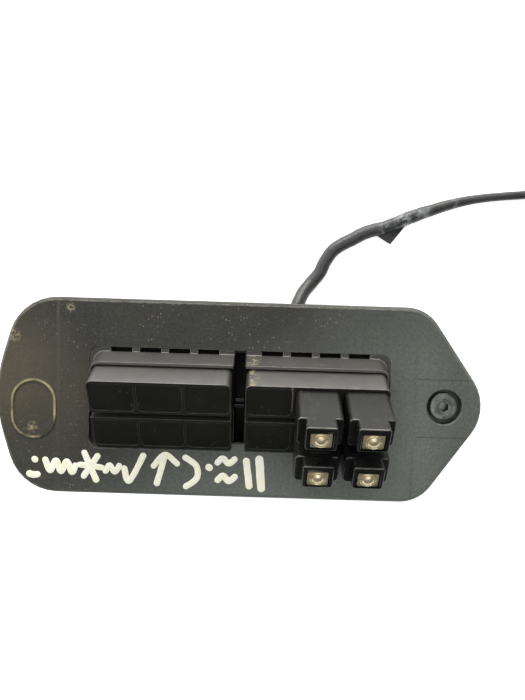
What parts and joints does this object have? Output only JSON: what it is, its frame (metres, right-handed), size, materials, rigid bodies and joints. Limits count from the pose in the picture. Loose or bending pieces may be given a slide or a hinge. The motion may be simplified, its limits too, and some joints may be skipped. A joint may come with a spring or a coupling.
{
  "type": "vehicle door contact panel",
  "caption": "Dark plastic panel with a pointed end, slanted contact blocks, sprung gold-tipped plungers, blank cells and a taped cable with a connector.",
  "frame": {"origin": "under the middle of the face plate, on the surface that the rear cover lies on", "axes": "+X along the plate towards its blunt end, +Z out of the face, +Y the way the contact cells lean"},
  "size_m": [0.2313, 0.1745, 0.059],
  "materials": {
    "plate_plastic": "fine-grained moulded plastic, dusty and scuffed",
    "gasket_foam": "matt foam",
    "housing_plastic": "fine-grained, edges rubbed pale",
    "board_plastic": "plain",
    "cap_plastic": "smooth with worn outlines",
    "shell_gloss": "polished black",
    "contact_brass": "polished",
    "spring_steel": "bright wire",
    "lead_insulation": "satin",
    "cover_plastic": "fine-grained",
    "screw_steel": "dark zinc",
    "grommet_rubber": "satin",
    "cable_tape": "wound tape, rubbed pale in places",
    "tie_plastic": "satin",
    "connector_plastic": "satin",
    "lock_plastic": "satin"
  },
  "bodies": {
    "panel": {"face_plate": "plate_plastic", "plate_gasket": "gasket_foam", "collar_frame": "plate_plastic", "contact_housing_a": "housing_plastic", "contact_housing_b": "housing_plastic", "terminal_board_a": "board_plastic", "terminal_board_b": "board_plastic", "blank_cap_1": "cap_plastic", "blank_cap_2": "cap_plastic", "blank_cap_3": "cap_plastic", "blank_cap_4": "cap_plastic", "blank_cap_5": "cap_plastic", "blank_cap_6": "cap_plastic", "blank_cap_7": "cap_plastic", "blank_cap_8": "cap_plastic", "plunger_spring_1": "spring_steel", "terminal_clip_1": "contact_brass", "lead_wire_1": "lead_insulation", "plunger_spring_2": "spring_steel", "terminal_clip_2": "contact_brass", "lead_wire_2": "lead_insulation", "plunger_spring_3": "spring_steel", "terminal_clip_3": "contact_brass", "lead_wire_3": "lead_insulation", "plunger_spring_4": "spring_steel", "terminal_clip_4": "contact_brass", "lead_wire_4": "lead_insulation", "rear_cover": "cover_plastic", "cover_screws": "screw_steel", "mounting_screw": "screw_steel", "screw_bush": "screw_steel", "screw_washer": "screw_steel", "cable_grommet": "grommet_rubber", "harness_cable": "cable_tape", "tape_flag": "cable_tape", "harness_coil": "cable_tape", "coil_tie": "tie_plastic", "harness_tail": "cable_tape", "connector_seal": "grommet_rubber", "connector_body": "connector_plastic", "connector_pins": "contact_brass", "connector_lock": "lock_plastic"},
    "plunger_1": {"plunger_shell_1": "shell_gloss", "contact_pin_1": "contact_brass"},
    "plunger_2": {"plunger_shell_2": "shell_gloss", "contact_pin_2": "contact_brass"},
    "plunger_3": {"plunger_shell_3": "shell_gloss", "contact_pin_3": "contact_brass"},
    "plunger_4": {"plunger_shell_4": "shell_gloss", "contact_pin_4": "contact_brass"}
  },
  "joints": [
    {"name": "plunger_1_slide", "type": "slide", "parent": "panel", "child": "plunger_1", "axis": [0, 0.4695, 0.8829], "range_m": [-0.0065, 0], "stiffness_N_per_m": 400, "springref_m": 0.006, "deforming": ["plunger_spring_1"]},
    {"name": "plunger_2_slide", "type": "slide", "parent": "panel", "child": "plunger_2", "axis": [0, 0.4695, 0.8829], "range_m": [-0.0065, 0], "stiffness_N_per_m": 400, "springref_m": 0.006, "deforming": ["plunger_spring_2"]},
    {"name": "plunger_3_slide", "type": "slide", "parent": "panel", "child": "plunger_3", "axis": [0, 0.4695, 0.8829], "range_m": [-0.0065, 0], "stiffness_N_per_m": 400, "springref_m": 0.006, "deforming": ["plunger_spring_3"]},
    {"name": "plunger_4_slide", "type": "slide", "parent": "panel", "child": "plunger_4", "axis": [0, 0.4695, 0.8829], "range_m": [-0.0065, 0], "stiffness_N_per_m": 400, "springref_m": 0.006, "deforming": ["plunger_spring_4"]}
  ]
}
